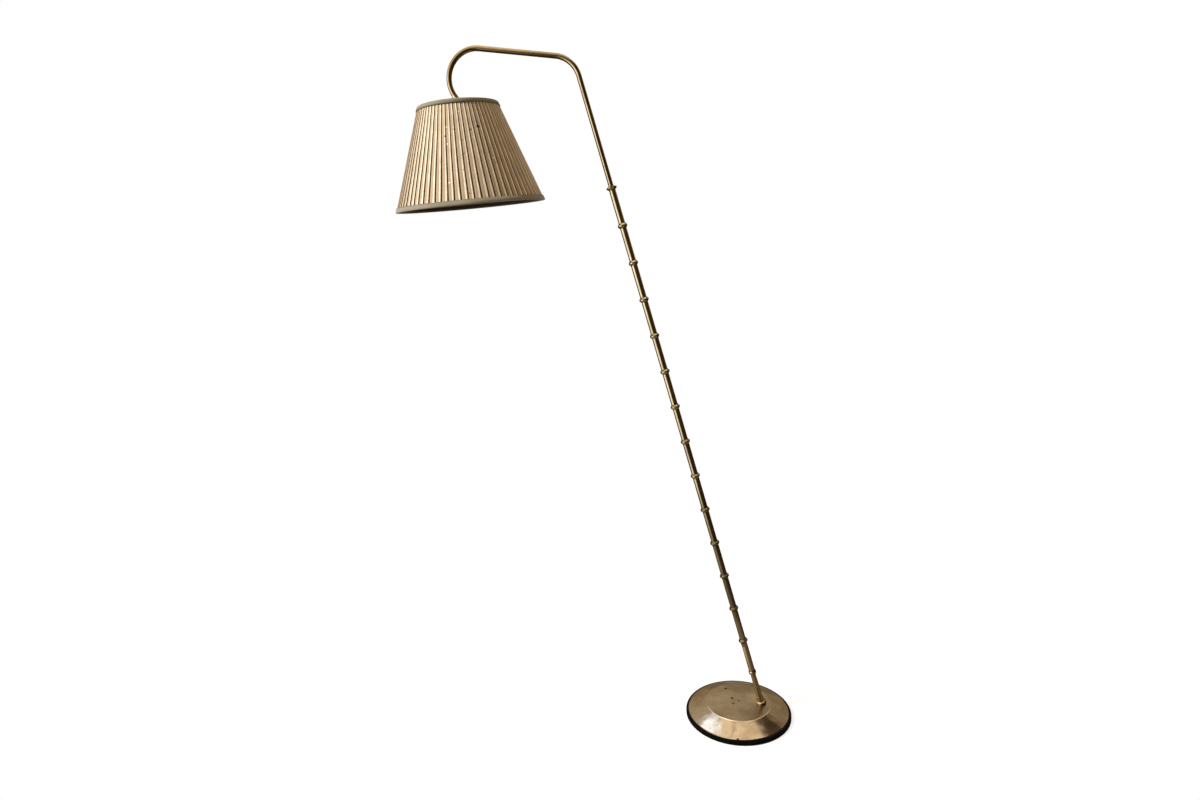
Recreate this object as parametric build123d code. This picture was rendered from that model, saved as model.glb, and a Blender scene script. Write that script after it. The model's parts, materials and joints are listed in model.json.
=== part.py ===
from build123d import *
import math
import os

# Floor lamp: a weighted round base, a leaning stem dressed with bamboo rings,
# a thinner arm that slides and turns in the stem, and a pleated shade on a knuckle.
# Millimetres, +Z up. The origin is on the floor under the middle of the base.
# The stem leans towards -X, in the plane y = 0.

# Clearances that the pieces share
run_gap = 0.05
seat_gap = 0.02
end_play = 0.15
cloth_gap = 0.1
hole_gap = 0.25
overrun = 40.0

# Base: rubber rim, spun cover, cast weight and bottom plate
base_radius = 125.0
rim_height = 10.3
rim_show = 5.5
rim_inside = 5.0
rim_inner_height = 8.5
rim_floor = 3.7
rim_top_round = 3.0
rim_foot_round = 1.2
cover_wall = 1.2
cover_height = 29.6
cover_flat_radius = 76.5
cover_shoulder_round = 10.0
cover_edge_round = 1.6
cover_edge_rise = 1.0
weight_gap = 0.3
weight_inset = 2.5
weight_edge_round = 2.0
plate_height = 2.0
plate_wall = 1.2
plate_gap = 0.5
plate_screw_path_radius = 70.0
plate_screw_count = 3
plate_screw_turn = 35.0
plate_screw_radius = 2.0
plate_screw_length = 9.0
plate_screw_head_radius = 3.8
plate_screw_head = 1.4
rim_gap = 0.15
inlet_radius = 2.6
inlet_height = 5.0
inlet_wall = 2.0
channel_width = 8.0
channel_height = 7.0

# Stem: lean, foot, stub, tube, rings and collars
stem_lean = 14.53
foot_offset = 55.0
stem_radius = 7.4
stem_wall = 1.1
stub_wall = 1.0
stub_depth = 70.0
ring_start = 82.2
ring_pitch = 83.9
ring_count = 13
ring_rise = 3.4
ring_height = 10.0
ring_ridge = 2.6
ring_ridge_round = 1.1
ring_edge = 0.7
end_collar_radius = 9.0
end_collar_height = 8.0
end_collar_ridge = 4.0
end_collar_lip = 0.8
top_collar_radius = 12.0
top_collar_below = 4.0
top_collar_above = 3.4
top_collar_ridge = 1.2
top_collar_shoulder = 8.2
top_collar_lip = 1.6
bush_length = 40.0
stub_foot_radius = 7.4
stub_taper_drop = 8.0
foot_neck_height = 17.5
foot_neck_top_radius = 7.9
foot_neck_low_radius = 8.9
foot_bead_radius = 12.0
foot_bead_height = 5.4
foot_bead_belly = 3.6
foot_bead_round = 1.4

# Stud and nut that clamp the stem through the base
stud_bore = 3.5
stud_grip = 30.0
stud_seat_depth = 11.0
stud_seat_radius = 13.5
washer_radius = 11.0
washer_wall = 1.6
stud_nut_flats = 17.0
stud_nut_height = 6.0
stud_end = 2.0

# Arm: riser, crook, run and hook, and the spindle that guides its lower end
arm_radius = 5.75
arm_wall = 0.9
arm_inside = 260.0
arm_riser = 241.9
arm_bend_radius = 60.6
arm_crook_angle = 66.16
arm_run = 168.6
arm_hook_angle = 127.26
arm_tail = 5.0
spindle_plug = 20.0
spindle_radius = 4.2
spindle_thread_radius = 3.4
spindle_bore = 2.2
spindle_nut_radius = 5.4
spindle_nut_height = 5.0
guide_length = 20.0

# Knuckle between the hook and the lampholder
swivel_rest = 12.32
tilt_rest = 25.97
pin_drop = 11.0
swivel_plug = 4.6
swivel_neck_radius = 3.4
swivel_head_radius = 5.0
swivel_head = 1.5
swivel_bore = 2.0
fork_radius = 6.4
fork_plate = 3.85
fork_flat = 5.6
fork_flat_height = 5.0
tongue_wall = 4.0
tongue_radius = 4.6
tongue_drop = 6.8
tongue_collar_radius = 6.6
tongue_collar = 3.0
tongue_thread_radius = 4.9
tongue_thread = 9.0
pin_radius = 2.0
pin_head_radius = 3.6
pin_head = 2.0
pin_washer_radius = 4.0
pin_washer = 0.6
pin_nut_radius = 4.6
pin_nut_height = 4.5
pin_nut_sides = 16
pin_end = 1.0

# Lampholder with a key switch
cap_radius = 19.5
cap_wall = 1.0
cap_height = 24.0
cap_crown = 9.0
cap_slope = 11.0
cap_round = 5.0
lock_nut_flats = 12.0
lock_nut_height = 4.0
skirt_radius = 20.0
skirt_wall = 1.2
skirt_length = 32.0
skirt_neck = 6.0
core_gap = 0.1
core_drop = 12.0
core_floor = 8.0
core_length = 40.0
core_wall = 3.2
shell_wall = 0.5
shell_inset = 1.0
shell_length = 27.0
contact_wall = 0.5
contact_width = 6.0
contact_reach = 7.0
contact_rise = 1.4
key_drop = 16.0
key_radius = 1.6
key_depth = 11.0
key_reach = 4.5
key_hub_radius = 3.0
key_width = 14.0
key_length = 12.0
key_wall = 3.0
key_round = 1.2

# Bulb
bulb_cap_radius = 13.2
bulb_cap_wall = 0.5
bulb_cap_height = 23.0
bulb_cap_round = 1.0
bulb_tip_radius = 5.0
bulb_tip = 3.0
bulb_wall = 0.8
bulb_neck_radius = 12.6
bulb_hollow = 30.0
bulb_radius = 30.0
bulb_length = 78.0

# Shade: spider, hoops, liner, pleated cover and bindings
shade_drop = 9.0
shade_height = 216.5
shade_top_radius = 87.9
shade_bottom_radius = 167.6
pleat_count = 72
pleat_depth = 3.0
pleat_fold_share = 0.8
cloth_wall = 0.6
liner_wall = 0.8
hoop_wire = 1.3
tape_wall = 0.5
top_tape = 10.5
bottom_tape = 12.0
tape_turn_in = 6.0
spider_count = 3
spider_turn = 90.0
spider_wire = 1.25
spider_drop = 14.0
spider_plate = 1.5
spider_radius = 29.0
shade_nut_radius = 25.5
shade_nut_height = 3.8

# Sizes that follow from them
cover_edge = base_radius - rim_show
rim_inner = cover_edge - cover_wall - rim_inside
weight_radius = rim_inner - weight_inset
plate_top = plate_height + plate_wall
stem_inner = stem_radius - stem_wall
stub_radius = stem_inner - seat_gap
stub_inner = stub_radius - stub_wall
stud_radius = stub_inner - seat_gap
stud_low = -(stud_seat_depth + washer_wall + stud_nut_height)
collar_place = ring_start + ring_pitch * (ring_count + 1)
stem_top = collar_place + top_collar_above - top_collar_lip
arm_inner = arm_radius - arm_wall
arm_low = collar_place - arm_inside
guide_high = arm_low - end_play
guide_low = guide_high - guide_length
spindle_low = guide_low - end_play
fork_top = pin_drop - end_play
fork_pocket = fork_top - fork_plate
cap_top = -(tongue_drop + tongue_collar)
cap_low = cap_top - cap_height
neck_radius = cap_radius - cap_wall - seat_gap
core_radius = neck_radius - skirt_wall - core_gap
core_top = cap_top - core_drop
core_seat = core_top - core_floor
core_inner = core_radius - core_wall
bulb_top = core_seat - contact_wall - contact_rise - seat_gap
bulb_neck = bulb_top - bulb_tip - bulb_cap_height
spider_top = cap_low - spider_drop
shade_top = -shade_drop
shade_low = shade_top - shade_height
shade_slope = (shade_bottom_radius - shade_top_radius) / shade_height
wire_lean = hoop_wire * math.hypot(1, shade_slope)
tape_skin = tape_wall + cloth_gap

# Frames: the stem's axis, the hook's end, the knuckle's pin and the lampholder's axis
floor_frame = Location((0, 0, 0))
stem_frame = Location((foot_offset, 0, cover_height), (0, -stem_lean, 0))
riser = Line((0, arm_low), (0, collar_place + arm_riser))
crook = JernArc(riser @ 1, riser % 1, arm_bend_radius, arm_crook_angle)
run = PolarLine(crook @ 1, arm_run, direction=crook % 1)
hook = JernArc(run @ 1, run % 1, arm_bend_radius, arm_hook_angle)
tail = PolarLine(hook @ 1, arm_tail, direction=hook % 1)
arm_path = stem_frame * (Plane.XZ * Wire([riser, crook, run, hook, tail]))
hook_up = -(arm_path % 1)
hook_plane = Plane(arm_path @ 1, x_dir=Vector(0, 1, 0).cross(hook_up), z_dir=hook_up)
knuckle_frame = hook_plane.offset(-pin_drop).location * Rot(0, 0, -swivel_rest)
head_frame = knuckle_frame * Rot(0, tilt_rest, 0)
along_y = Rot(-90, 0, 0)

parts = {}


def keep(frame, **solids):
    """Place solids in a frame and store them under their names."""
    for name, solid in solids.items():
        parts[name] = frame * solid


def turned(points, rounds=None):
    """Solid of revolution about Z from a closed outline of (radius, height) points."""
    if rounds:
        outline = FilletPolyline(*points, radius=rounds, close=True)
    else:
        outline = Polyline(*points, close=True)
    return revolve(Plane.XZ * make_face(outline), Axis.Z)


def tube(outer, inner, low, high):
    """Ring or tube about Z between two heights."""
    return turned([(inner, low), (outer, low), (outer, high), (inner, high)])


def rod(radius, low, high):
    """Plain round bar about Z between two heights."""
    return turned([(0, low), (radius, low), (radius, high), (0, high)])


def spun(line, wall):
    """Thin shell of revolution about Z along a middle line, which may run on past the axis."""
    section = split(trace(line, wall), Plane.YZ, keep=Keep.TOP)
    return revolve(Plane.XZ * section, Axis.Z)


def nut(radius, sides, bore, low, high):
    """Nut about Z with flat sides, given the radius to its corners."""
    blank = Pos(0, 0, low) * extrude(RegularPolygon(radius, sides), high - low)
    return blank - rod(bore, low - overrun, high + overrun)


def hex_corner(flats):
    """Corner radius of a hexagon of this width across its flats."""
    return flats / math.sqrt(3)


def bar(start, end, radius):
    """Round bar between two points."""
    line = Line(start, end)
    return sweep(Plane(line @ 0, z_dir=line % 0) * Circle(radius), line)


def make_base():
    """Cover, rubber rim, weight, plate and screws."""
    edge_height = rim_height + cover_edge_rise
    slope = math.atan2(cover_height - edge_height, cover_edge - cover_flat_radius)
    half = cover_wall / 2
    middle = cover_edge - half
    skirt_foot = edge_height - half * math.tan((math.pi / 2 - slope) / 2)
    skirt_line = FilletPolyline(
        (-overrun, cover_height - half),
        (cover_flat_radius - half * math.tan(slope / 2), cover_height - half),
        (middle, skirt_foot),
        (middle, rim_floor + seat_gap),
        radius=[cover_shoulder_round, cover_edge_round],
    )
    rim = turned(
        [
            (rim_inner, 0),
            (base_radius, 0),
            (base_radius, rim_height),
            (cover_edge + rim_gap, rim_height),
            (cover_edge + rim_gap, rim_floor),
            (cover_edge - cover_wall - rim_gap, rim_floor),
            (cover_edge - cover_wall - rim_gap, rim_inner_height),
            (rim_inner, rim_inner_height),
        ],
        [0, rim_foot_round, rim_top_round, 0, 0, 0, 0, 0],
    )
    weight_top = cover_height - cover_wall - weight_gap
    weight_flat = cover_flat_radius - (cover_wall + weight_gap) * math.tan(slope / 2)
    weight_side = weight_top - (weight_radius - weight_flat) * math.tan(slope)
    weight = turned(
        [
            (0, plate_top),
            (weight_radius, plate_top),
            (weight_radius, weight_side),
            (weight_flat, weight_top),
            (0, weight_top),
        ],
        [0, weight_edge_round, weight_edge_round, cover_shoulder_round, 0],
    )
    plate = rod(rim_inner - plate_gap, plate_height, plate_top)

    # The stem's stud leans through the cover and the weight
    stud_hole = stem_frame * rod(stud_radius + hole_gap, -overrun, overrun)
    nut_seat = stem_frame * rod(stud_seat_radius, -overrun, -stud_seat_depth)

    # The flex comes in through a boss that closes the rim's groove, and runs along a channel to the stud
    inlet = Pos(0, base_radius, inlet_height) * along_y * rod(inlet_radius, -overrun, overrun)
    boss_half = inlet_radius + inlet_wall
    boss_top = inlet_height + boss_half
    boss = tube(cover_edge + rim_inside / 2, rim_inner, 0, boss_top)
    boss &= Pos(0, cover_edge, boss_top / 2) * Box(2 * boss_half, overrun, boss_top)
    notch = Pos(0, cover_edge, 0) * Box(2 * (boss_half + hole_gap), overrun, 2 * (boss_top + hole_gap))
    seat_place = foot_offset + stud_seat_depth * math.sin(math.radians(stem_lean))
    channel_run = math.hypot(seat_place, weight_radius)
    channel_turn = math.degrees(math.atan2(weight_radius, -seat_place))
    channel = Pos(channel_run / 2, 0, 0) * Box(channel_run, channel_width, 2 * channel_height)
    channel += Pos(channel_run, 0, 0) * Box(overrun, channel_width, 2 * channel_height)
    channel = Pos(seat_place, 0, plate_top) * Rot(0, 0, channel_turn) * channel

    screw = rod(plate_screw_radius, plate_height, plate_height + plate_screw_length)
    screw += rod(plate_screw_head_radius, plate_height - plate_screw_head, plate_height)
    hole = rod(plate_screw_radius + seat_gap, -overrun, plate_height + plate_screw_length + hole_gap)
    places = PolarLocations(plate_screw_path_radius, plate_screw_count, plate_screw_turn)
    holes = [place * hole for place in places]
    keep(
        floor_frame,
        base_cover=spun(skirt_line, cover_wall) - stud_hole - notch,
        rubber_rim=rim + boss - inlet,
        base_weight=weight - stud_hole - nut_seat - channel - holes,
        base_plate=plate - holes,
        plate_screws=Compound(children=[place * screw for place in places]),
    )


def stem_ring():
    """One bamboo ring: two cones that meet in a rounded ridge."""
    half = ring_height / 2
    crest = stem_radius + ring_rise
    return turned(
        [
            (stem_radius + seat_gap, -half),
            (stem_radius + ring_edge, -half),
            (crest, -ring_ridge / 2),
            (crest, ring_ridge / 2),
            (stem_radius + ring_edge, half),
            (stem_radius + seat_gap, half),
        ],
        [0, 0, ring_ridge_round, ring_ridge_round, 0, 0],
    )


def make_stem():
    """Foot, stub, stem tube with its rings and collars, and the clamping stud."""
    floor_plane = Plane.XY.offset(cover_height)
    bead = turned(
        [
            (stub_foot_radius + seat_gap, -overrun),
            (foot_bead_radius, -overrun),
            (foot_bead_radius, foot_bead_belly),
            (foot_neck_low_radius, foot_bead_height),
            (foot_neck_top_radius, foot_neck_height),
            (stub_foot_radius + seat_gap, foot_neck_height),
        ],
        [0, 0, foot_bead_round, 0, 0, 0],
    )
    collar_low = ring_start - end_collar_height / 2
    stub = turned(
        [
            (stub_inner, -overrun),
            (stub_foot_radius, -overrun),
            (stub_foot_radius, foot_neck_height),
            (stub_radius, collar_low - stub_taper_drop),
            (stub_radius, ring_start + stub_depth),
            (stub_inner, ring_start + stub_depth),
        ],
    )
    collar_high = ring_start + end_collar_height / 2
    stem_low = collar_low + end_collar_lip
    end_collar = turned(
        [
            (stub_radius + seat_gap, collar_low),
            (stem_radius + ring_edge, collar_low),
            (end_collar_radius, ring_start - end_collar_ridge / 2),
            (end_collar_radius, ring_start + end_collar_ridge / 2),
            (stem_radius + ring_edge, collar_high),
            (stem_radius + seat_gap, collar_high),
            (stem_radius + seat_gap, stem_low),
            (stub_radius + seat_gap, stem_low),
        ],
    )
    collar_foot = collar_place - top_collar_below
    top_collar = turned(
        [
            (stem_radius + seat_gap, collar_foot),
            (stem_radius + ring_edge, collar_foot),
            (top_collar_radius, collar_place - top_collar_ridge / 2),
            (top_collar_radius, collar_place + top_collar_ridge / 2),
            (top_collar_shoulder, collar_place + top_collar_above),
            (arm_radius + hole_gap, collar_place + top_collar_above),
            (arm_radius + hole_gap, stem_top),
            (stem_radius + seat_gap, stem_top),
        ],
    )
    washer_low = -stud_seat_depth - washer_wall
    keep(
        stem_frame,
        stem_tube=tube(stem_radius, stem_inner, stem_low, stem_top),
        stem_end_collar=end_collar,
        stem_top_collar=top_collar,
        stem_bush=tube(stem_inner - seat_gap, arm_radius + run_gap, stem_top - bush_length, stem_top),
        base_stud=tube(stud_radius, stud_bore, stud_low - stud_end, stud_grip),
        stud_washer=tube(washer_radius, stud_radius + seat_gap, washer_low, -stud_seat_depth),
        stud_nut=nut(hex_corner(stud_nut_flats), 6, stud_radius + seat_gap, stud_low, washer_low),
    )
    keep(
        floor_frame,
        foot_bead=split(stem_frame * bead, floor_plane, keep=Keep.TOP),
        stub_tube=split(stem_frame * stub, floor_plane, keep=Keep.TOP),
    )
    for index in range(1, ring_count + 1):
        place = stem_frame * Pos(0, 0, ring_start + ring_pitch * index)
        parts[f"stem_ring_{index:02d}"] = place * stem_ring()


def make_arm():
    """Bent arm tube, its guide at the lower end and the swivel stud at the hook."""
    section = Plane(arm_path @ 0, z_dir=arm_path % 0) * (Circle(arm_radius) - Circle(arm_inner))
    spindle = turned(
        [
            (spindle_bore, arm_low + spindle_plug),
            (arm_inner - seat_gap, arm_low + spindle_plug),
            (arm_inner - seat_gap, arm_low),
            (spindle_radius, arm_low),
            (spindle_radius, spindle_low),
            (spindle_thread_radius, spindle_low),
            (spindle_thread_radius, spindle_low - spindle_nut_height),
            (spindle_bore, spindle_low - spindle_nut_height),
        ],
    )
    spindle_thread = spindle_thread_radius + seat_gap
    keep(floor_frame, arm_tube=sweep(section, arm_path))
    keep(
        stem_frame,
        arm_spindle=spindle,
        spindle_nut=tube(spindle_nut_radius, spindle_thread, spindle_low - spindle_nut_height, spindle_low),
        guide_bush=tube(stem_inner - run_gap, spindle_radius + run_gap, guide_low, guide_high),
    )
    head_high = fork_pocket - end_play
    swivel_stud = turned(
        [
            (swivel_bore, pin_drop + swivel_plug),
            (arm_inner - seat_gap, pin_drop + swivel_plug),
            (arm_inner - seat_gap, pin_drop),
            (swivel_neck_radius, pin_drop),
            (swivel_neck_radius, head_high),
            (swivel_head_radius, head_high),
            (swivel_head_radius, head_high - swivel_head),
            (swivel_bore, head_high - swivel_head),
        ],
    )
    keep(knuckle_frame, swivel_stud=swivel_stud)


def make_knuckle():
    """Fork, pin screw, washer and nut, and the tongue that the lampholder hangs from."""
    slot_top = tongue_radius + hole_gap
    fork = rod(fork_radius, -fork_radius, fork_top)
    fork &= along_y * rod(fork_radius, -fork_radius, fork_radius) + Pos(0, 0, fork_top / 2) * Box(
        2 * fork_radius, 2 * fork_radius, fork_top
    )
    fork -= rod(swivel_neck_radius + run_gap, -overrun, overrun)
    fork -= rod(swivel_head_radius + hole_gap, tongue_radius, fork_pocket)
    slot = Box(overrun, tongue_wall + 2 * end_play, slot_top + overrun)
    fork -= Pos(0, 0, (slot_top - overrun) / 2) * slot
    for side in (1, -1):
        flat = Box(overrun, overrun, 2 * fork_flat_height)
        flat += Pos(0, 0, -overrun / 2) * Box(overrun, overrun, overrun)
        fork -= Pos(0, side * (fork_flat + overrun / 2), 0) * flat
    fork -= along_y * rod(pin_radius + seat_gap, -overrun, overrun)

    nut_low = fork_flat + pin_washer
    nut_high = nut_low + pin_nut_height
    screw = rod(pin_radius, -fork_flat, nut_high + pin_end)
    screw += rod(pin_head_radius, -fork_flat - pin_head, -fork_flat)
    keep(
        knuckle_frame,
        knuckle_fork=fork,
        knuckle_screw=along_y * screw,
        knuckle_washer=along_y * tube(pin_washer_radius, pin_radius + seat_gap, fork_flat, nut_low),
        knuckle_nut=along_y * nut(pin_nut_radius, pin_nut_sides, pin_radius + seat_gap, nut_low, nut_high),
    )

    half = tongue_wall / 2
    tongue = along_y * rod(tongue_radius, -half, half)
    tongue += Pos(0, 0, -tongue_drop / 2) * Box(2 * tongue_radius, tongue_wall, tongue_drop)
    tongue += rod(tongue_collar_radius, cap_top, -tongue_drop)
    tongue += rod(tongue_thread_radius, cap_top - tongue_thread, cap_top)
    tongue -= along_y * rod(pin_radius + run_gap, -overrun, overrun)
    keep(head_frame, knuckle_tongue=tongue)


def make_holder():
    """Lampholder: cap, skirt, ceramic core, screw shell, contact, nuts and key."""
    half = cap_wall / 2
    thread = tongue_thread_radius + seat_gap
    cap_line = FilletPolyline(
        (thread, cap_top - half),
        (cap_crown, cap_top - half),
        (cap_radius - half, cap_top - cap_slope),
        (cap_radius - half, cap_low),
        radius=cap_round,
    )
    skirt_low = cap_low - skirt_length
    skirt = turned(
        [
            (neck_radius - skirt_wall, cap_low + skirt_neck),
            (neck_radius, cap_low + skirt_neck),
            (neck_radius, cap_low),
            (skirt_radius, cap_low),
            (skirt_radius, skirt_low),
            (skirt_radius - skirt_wall, skirt_low),
            (skirt_radius - skirt_wall, cap_low - skirt_wall),
            (neck_radius - skirt_wall, cap_low - skirt_wall),
        ],
    )
    core = rod(core_radius, core_top - core_length, core_top)
    core -= rod(core_inner, core_top - core_length - overrun, core_seat)
    shell_radius = core_inner - seat_gap
    shell_top = core_seat - shell_inset
    leaf = core_seat - contact_wall / 2
    leaf_line = Polyline((-contact_reach, leaf), (0, leaf), (contact_reach, leaf - contact_rise))
    contact = extrude(Plane.XZ * trace(leaf_line, contact_wall), contact_width / 2, both=True)

    # The key's spindle goes through the cap into the core, towards -Y
    key_place = Pos(0, 0, cap_top - key_drop) * Rot(90, 0, 0)
    key_end = cap_radius + key_reach
    spindle_end = core_radius - key_depth
    key_hole = key_place * rod(key_radius + run_gap, spindle_end - end_play, overrun)
    paddle = Box(key_width, key_wall, key_length)
    paddle = fillet(paddle.edges(), key_round)
    key = rod(key_radius, spindle_end, key_end) + rod(key_hub_radius, cap_radius + hole_gap, key_end)
    key += Pos(0, 0, key_end + key_length / 2 - key_round) * paddle

    plate_low = spider_top - spider_plate
    nut_bore = skirt_radius + seat_gap
    keep(
        head_frame,
        holder_cap=spun(cap_line, cap_wall) - key_hole,
        holder_lock_nut=nut(
            hex_corner(lock_nut_flats), 6, thread, cap_top - cap_wall - lock_nut_height, cap_top - cap_wall
        ),
        holder_skirt=skirt,
        holder_core=core - key_hole,
        holder_shell=tube(shell_radius, shell_radius - shell_wall, shell_top - shell_length, shell_top),
        holder_contact=contact,
        shade_nut_upper=tube(shade_nut_radius, nut_bore, spider_top, spider_top + shade_nut_height),
        shade_nut_lower=tube(shade_nut_radius, nut_bore, plate_low - shade_nut_height, plate_low),
        switch_key=key_place * key,
    )


def make_bulb():
    """Screw cap and glass of the bulb: a globe that runs up into its neck in a hollow curve."""
    half = bulb_cap_wall / 2
    cap_line = FilletPolyline(
        (-overrun, bulb_top - half),
        (bulb_tip_radius, bulb_top - half),
        (bulb_cap_radius - half, bulb_top - bulb_tip),
        (bulb_cap_radius - half, bulb_neck),
        radius=bulb_cap_round,
    )
    bulb_low = bulb_neck - bulb_length + bulb_wall / 2
    globe = bulb_radius - bulb_wall / 2
    swing = math.acos((bulb_neck_radius + bulb_hollow) / (globe + bulb_hollow))
    neck_low = bulb_low + globe + (globe + bulb_hollow) * math.sin(swing)
    neck_line = Line((bulb_neck_radius, bulb_neck), (bulb_neck_radius, neck_low))
    hollow = JernArc(neck_line @ 1, neck_line % 1, bulb_hollow, math.degrees(swing))
    belly = JernArc(hollow @ 1, hollow % 1, globe, -90 - math.degrees(swing))
    glass_line = Wire([neck_line, hollow, belly, Line((0, bulb_low), (-bulb_wall, bulb_low))])
    keep(head_frame, bulb_cap=spun(cap_line, bulb_cap_wall), bulb_glass=spun(glass_line, bulb_wall))


def ridge(height):
    """Radius of the pleats' ridges at a height on the shade's axis."""
    return shade_top_radius - tape_skin + (shade_top - height) * shade_slope


def fold(height):
    """Depth of the pleats at a height: they narrow with the shade."""
    return pleat_depth * ridge(height) / ridge(shade_low)


def cloth_inside(height):
    """Radius of the pleated cover's inner face at a height."""
    return ridge(height) - fold(height) - cloth_wall


def pleat_outline(height):
    """Closed saw-tooth outline of the knife pleats at a height."""
    points = []
    step = 2 * math.pi / pleat_count
    for index in range(pleat_count):
        for share, radius in ((pleat_fold_share, ridge(height) - fold(height)), (0, ridge(height))):
            turn = (index - share) * step
            points.append((radius * math.cos(turn), radius * math.sin(turn), height))
    return make_face(Polyline(*points, close=True))


def binding(edge, away, leg, reach):
    """Tape folded round one edge of the shade; away is +1 towards the top, -1 towards the mouth."""
    outside = edge - away * reach
    inside = edge - away * tape_turn_in
    under = edge - away * tape_wall
    return turned(
        [
            (ridge(outside) + tape_skin, outside),
            (ridge(edge) + tape_skin, edge),
            (leg(edge) - tape_wall, edge),
            (leg(inside) - tape_wall, inside),
            (leg(inside), inside),
            (leg(under), under),
            (ridge(under) + cloth_gap, under),
            (ridge(outside) + cloth_gap, outside),
        ],
    )


def make_shade():
    """Spider, hoops, liner, pleated cover and the bindings of both edges."""
    cover_top = shade_top - tape_skin
    cover_low = shade_low + tape_skin
    pleats = loft([pleat_outline(cover_low), pleat_outline(cover_top)], ruled=True)
    inside_low = (cloth_inside(cover_low), cover_low)
    inside_top = (cloth_inside(cover_top), cover_top)
    pleats -= turned([(0, cover_low), inside_low, inside_top, (0, cover_top)])

    top_height = cover_top - hoop_wire
    low_height = cover_low + hoop_wire
    top_hoop = cloth_inside(top_height) - cloth_gap - wire_lean
    low_hoop = cloth_inside(low_height) - cloth_gap - wire_lean
    liner_top = top_height - hoop_wire - cloth_gap
    liner_low = low_height + hoop_wire + cloth_gap
    liner = turned(
        [
            (cloth_inside(liner_low) - cloth_gap - liner_wall, liner_low),
            (cloth_inside(liner_low) - cloth_gap, liner_low),
            (cloth_inside(liner_top) - cloth_gap, liner_top),
            (cloth_inside(liner_top) - cloth_gap - liner_wall, liner_top),
        ]
    )

    plate_middle = spider_top - spider_plate / 2
    start = (spider_radius - spider_wire, 0, plate_middle)
    end = (top_hoop, 0, top_height)
    places = PolarLocations(0, spider_count, spider_turn)
    arms = [place * bar(start, end, spider_wire) for place in places]
    notches = [place * bar(start, end, spider_wire + hole_gap) for place in places]
    spider = tube(spider_radius, skirt_radius + hole_gap, spider_top - spider_plate, spider_top) + arms
    spider -= Pos(0, 0, top_height) * Torus(top_hoop, hoop_wire + seat_gap)

    def top_leg(height):
        return top_hoop - wire_lean - cloth_gap + (top_height - height) * shade_slope

    def low_leg(height):
        return low_hoop - wire_lean - cloth_gap + (low_height - height) * shade_slope

    keep(
        head_frame,
        shade_spider=spider,
        shade_top_hoop=Pos(0, 0, top_height) * Torus(top_hoop, hoop_wire),
        shade_bottom_hoop=Pos(0, 0, low_height) * Torus(low_hoop, hoop_wire),
        shade_liner=liner,
        shade_pleats=pleats,
        shade_top_binding=binding(shade_top, 1, top_leg, top_tape) - notches,
        shade_bottom_binding=binding(shade_low, -1, low_leg, bottom_tape),
    )


make_base()
make_stem()
make_arm()
make_knuckle()
make_holder()
make_bulb()
make_shade()

os.makedirs("parts", exist_ok=True)
for name, solid in parts.items():
    export_step(solid, f"parts/{name}.step")
print(len(parts), "nodes")
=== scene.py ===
# %% [markdown]
# A brass reading lamp: a heavy round base, a leaning stem that is ringed like bamboo, a bent arm that
# slides and turns in the stem, and a knife-pleated shade. The solids arrive with their real sizes and
# places. This script adds the finish: aged brass, pleated cotton, woven tape, and the light to see them.

# %% Load the frame
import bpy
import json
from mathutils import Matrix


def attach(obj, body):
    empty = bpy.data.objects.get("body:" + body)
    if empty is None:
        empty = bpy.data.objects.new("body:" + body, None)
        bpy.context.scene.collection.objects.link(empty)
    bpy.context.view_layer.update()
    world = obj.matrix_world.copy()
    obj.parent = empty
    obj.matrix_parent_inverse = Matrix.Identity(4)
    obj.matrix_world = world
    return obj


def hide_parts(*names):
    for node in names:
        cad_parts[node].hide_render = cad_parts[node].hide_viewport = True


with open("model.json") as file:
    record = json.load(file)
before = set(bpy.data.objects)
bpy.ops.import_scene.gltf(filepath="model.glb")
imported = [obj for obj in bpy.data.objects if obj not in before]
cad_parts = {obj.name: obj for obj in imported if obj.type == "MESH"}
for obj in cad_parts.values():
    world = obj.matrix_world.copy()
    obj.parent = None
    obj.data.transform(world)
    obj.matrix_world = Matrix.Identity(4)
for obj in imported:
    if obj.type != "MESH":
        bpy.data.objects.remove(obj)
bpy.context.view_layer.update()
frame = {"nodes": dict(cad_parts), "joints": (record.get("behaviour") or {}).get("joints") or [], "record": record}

import json
import math
import bpy
import numpy as np
from mathutils import Matrix, Vector

nodes = frame["nodes"]
joints = {joint["name"]: joint for joint in frame["joints"]}

# %% [markdown]
# Everything on the shade is easiest to make about the shade's own axis. Two joints give that axis: the
# tilting pin, and the switch key that sits below it on the same line. The stem's axis comes from the
# joint in which the arm turns. Both could be typed in, but read from the joints they follow the model.

# %% Axes of the shade and the stem
pin = Vector(joints["head_tilt"]["pos_m"])
pin_axis = Vector(joints["head_tilt"]["axis"])
shade_up = (pin - Vector(joints["switch_turn"]["pos_m"])).normalized()
shade_side = pin_axis.cross(shade_up)
stem_foot = Vector(joints["arm_swivel"]["pos_m"])
stem_up = Vector(joints["arm_swivel"]["axis"])
backwards = Vector((0, 1, 0))


def frame_matrix(origin, x_axis, y_axis, z_axis):
    """A matrix that carries a local frame to its place."""
    matrix = Matrix((x_axis, y_axis, z_axis)).transposed().to_4x4()
    matrix.translation = origin
    return matrix


shade_frame = frame_matrix(pin, shade_side, pin_axis, shade_up)
stem_frame = frame_matrix(stem_foot, backwards.cross(stem_up), backwards, stem_up)
print("shade axis", [round(c, 4) for c in shade_up], "stem axis", [round(c, 4) for c in stem_up])

# %% [markdown]
# The photograph was taken from close by with a wide lens, a little above half the lamp's height, so the
# camera's place matters as much as its angle. These values were found by fitting the stem's rings, the
# base and the shade to the picture.

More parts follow.
